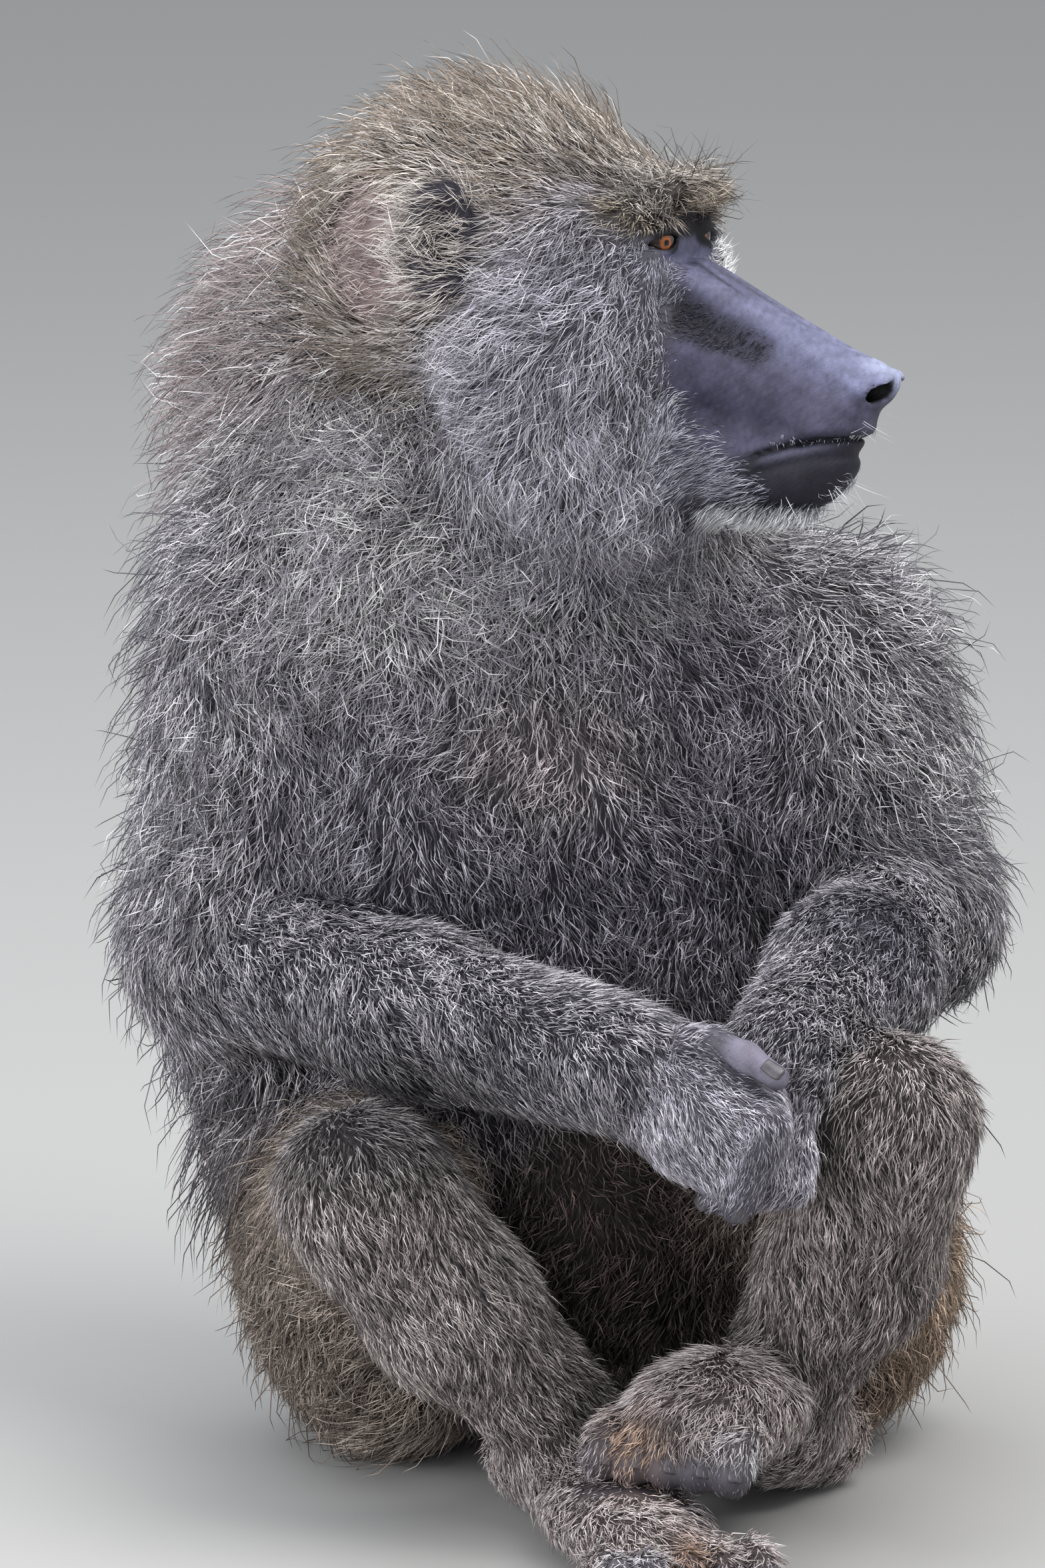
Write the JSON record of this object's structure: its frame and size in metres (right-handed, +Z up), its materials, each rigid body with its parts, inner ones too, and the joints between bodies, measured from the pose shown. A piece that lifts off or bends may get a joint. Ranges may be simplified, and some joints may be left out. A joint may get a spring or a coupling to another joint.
{
  "type": "seated adult male olive baboon, still museum model",
  "caption": "Life-size still model of a seated adult male olive baboon, forearms crossed between raised knees and head turned to its left, resting on its rump and feet.",
  "frame": {"origin": "on the floor, at the middle of the box round the whole model", "axes": "+Z up; the body faces -Y and its left side is +X, the head is turned to its left towards +X; the longest extent is along Y, from the tail's tip to the toes"},
  "size_m": [0.4312, 0.7162, 0.5976],
  "materials": {
    "coat_mantle": "long grizzled grey hair with pale cream bands, black tips over the crown, nape and cape",
    "coat_limb": "short grizzled grey hair lying down the limbs, pale tufts on the feet",
    "coat_olive": "shaggy olive-brown hair with yellowish tips on the rump, thighs and tail",
    "skin": "dark skin under the coat, the same markings as the hair over it",
    "face_skin": "bare matt violet-grey skin, lighter along the top of the muzzle, finely pored",
    "nail": "dark grey horn, low sheen",
    "eye": "wet amber iris round a dark pupil"
  },
  "bodies": {
    "root": {"head": "coat_mantle", "face": "face_skin", "muzzle": "face_skin", "lower_jaw": "face_skin", "eye_right": "eye", "eye_left": "eye", "ear_right": "face_skin", "ear_left": "face_skin", "neck": "coat_mantle", "chest": "coat_mantle", "rump": "coat_olive", "upper_arm_right": "coat_mantle", "upper_arm_left": "coat_mantle", "forearm_right": "coat_limb", "forearm_left": "coat_limb", "hand_right": "coat_limb", "hand_left": "coat_limb", "thigh_right": "coat_olive", "thigh_left": "coat_olive", "shin_right": "coat_limb", "shin_left": "coat_limb", "foot_right": "coat_limb", "foot_left": "coat_limb", "tail_1": "coat_olive", "tail_2": "coat_olive", "tail_3": "coat_olive", "tail_4": "coat_olive"}
  },
  "joints": []
}
